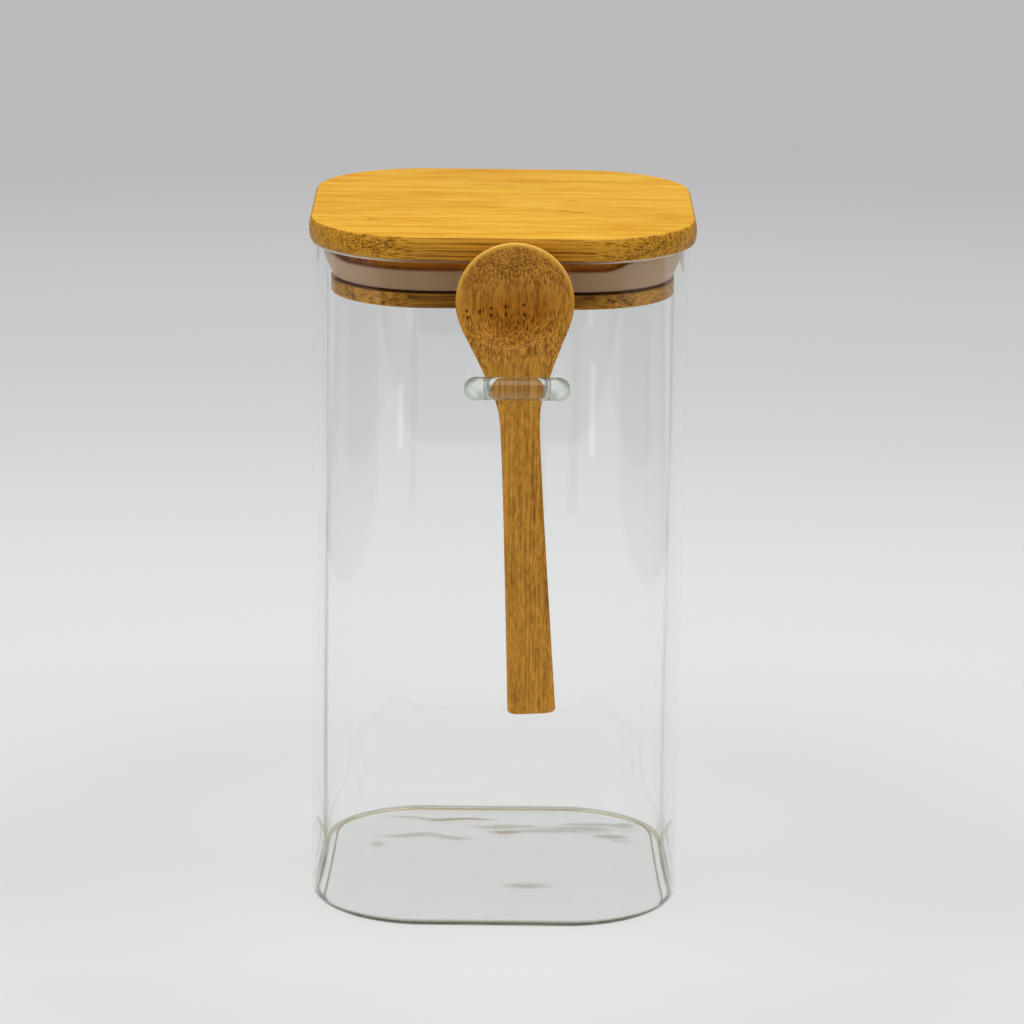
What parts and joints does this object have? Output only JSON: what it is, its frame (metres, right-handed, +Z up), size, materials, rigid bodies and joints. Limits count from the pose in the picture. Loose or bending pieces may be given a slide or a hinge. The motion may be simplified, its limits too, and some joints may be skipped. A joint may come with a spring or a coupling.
{
  "type": "pantry jar",
  "caption": "Square clear glass storage jar with rounded corners, a bamboo lid with a silicone seal, and a bamboo spoon hung in a glass loop on the front.",
  "frame": {"origin": "middle of the flat underside of the glass body, on the surface that the jar stands on", "axes": "+Z up along the jar, -Y towards the front with the spoon, +X to the right seen from the front"},
  "size_m": [0.1, 0.115, 0.1842],
  "materials": {
    "clear_glass": "clear, fire-polished",
    "lid_bamboo": "satin oiled bamboo, grain from left to right",
    "spoon_bamboo": "satin oiled bamboo, grain along the handle",
    "silicone": "frosted, translucent"
  },
  "bodies": {
    "jar": {"glass_body": "clear_glass", "spoon_loop": "clear_glass"},
    "lid": {"lid_board": "lid_bamboo", "lid_plug": "lid_bamboo", "seal_ring": "silicone"},
    "spoon": {"spoon": "spoon_bamboo"}
  },
  "joints": [
    {"name": "lid_lift", "type": "slide", "parent": "jar", "child": "lid", "axis": [0, 0, 1], "range_m": [0, 0.08]},
    {"name": "spoon_lift", "type": "slide", "parent": "jar", "child": "spoon", "axis": [-0.0506, 0, 0.9987], "range_m": [0, 0.1]}
  ]
}
